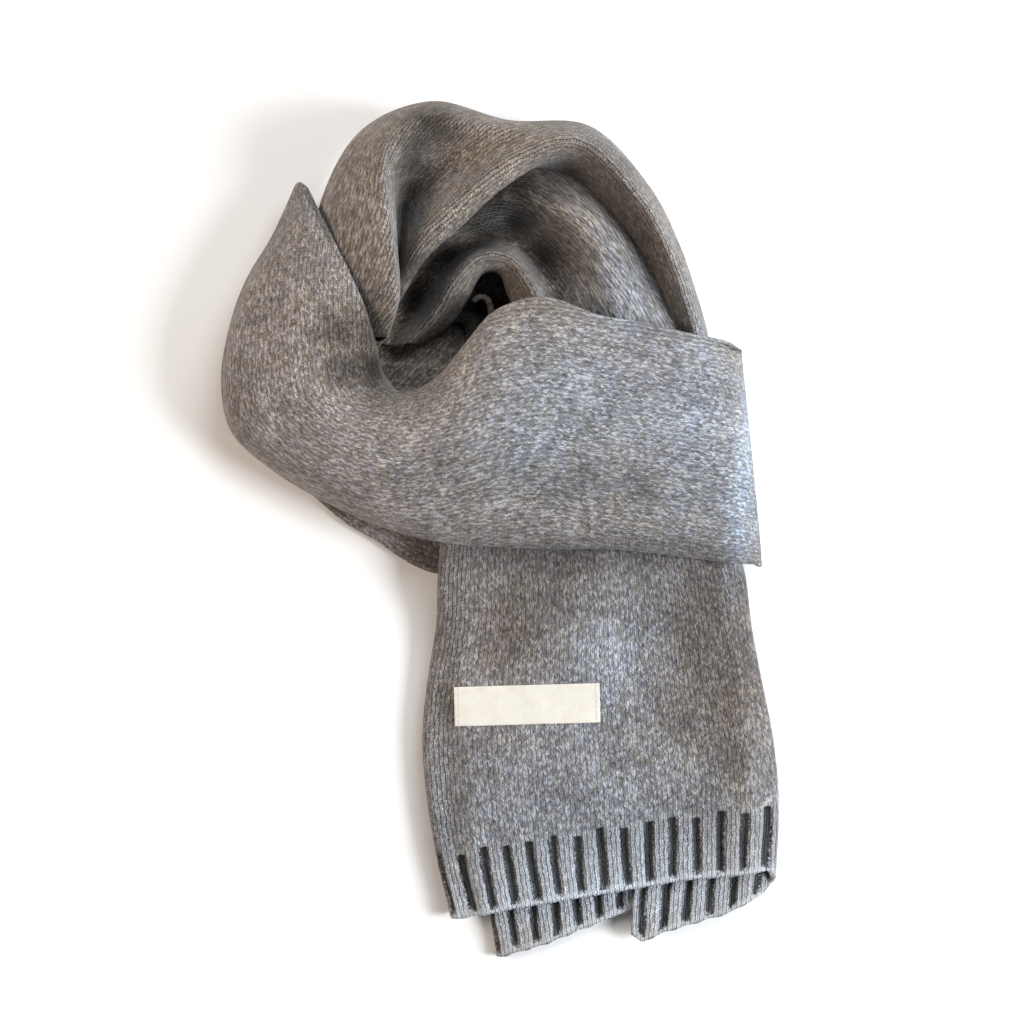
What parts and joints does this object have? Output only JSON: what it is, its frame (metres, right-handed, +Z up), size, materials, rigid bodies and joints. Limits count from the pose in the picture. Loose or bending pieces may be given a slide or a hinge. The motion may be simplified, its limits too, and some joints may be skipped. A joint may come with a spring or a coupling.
{
  "type": "knit scarf",
  "caption": "Grey knitted wool scarf laid flat on a surface, wound in a loose loop round itself, with folded tails, ribbed ends and a plain sewn label.",
  "frame": {"origin": "middle of the scarf in plan, on the surface it lies on", "axes": "+Z up from the surface, +Y from the ribbed ends towards the wound loops, +X to the right of the tails seen from above"},
  "size_m": [0.271, 0.4122, 0.067],
  "materials": {
    "wool": "matte heather-grey knitted wool",
    "label": "cream woven satin, slightly shiny"
  },
  "bodies": {
    "root": {"cross_band": "wool", "outer_loop": "wool", "inner_loop": "wool", "front_tail": "wool", "front_ribs": "wool", "back_tail": "wool", "back_ribs": "wool", "hidden_layers": "wool", "centre_curl": "wool", "label": "label"}
  },
  "joints": []
}
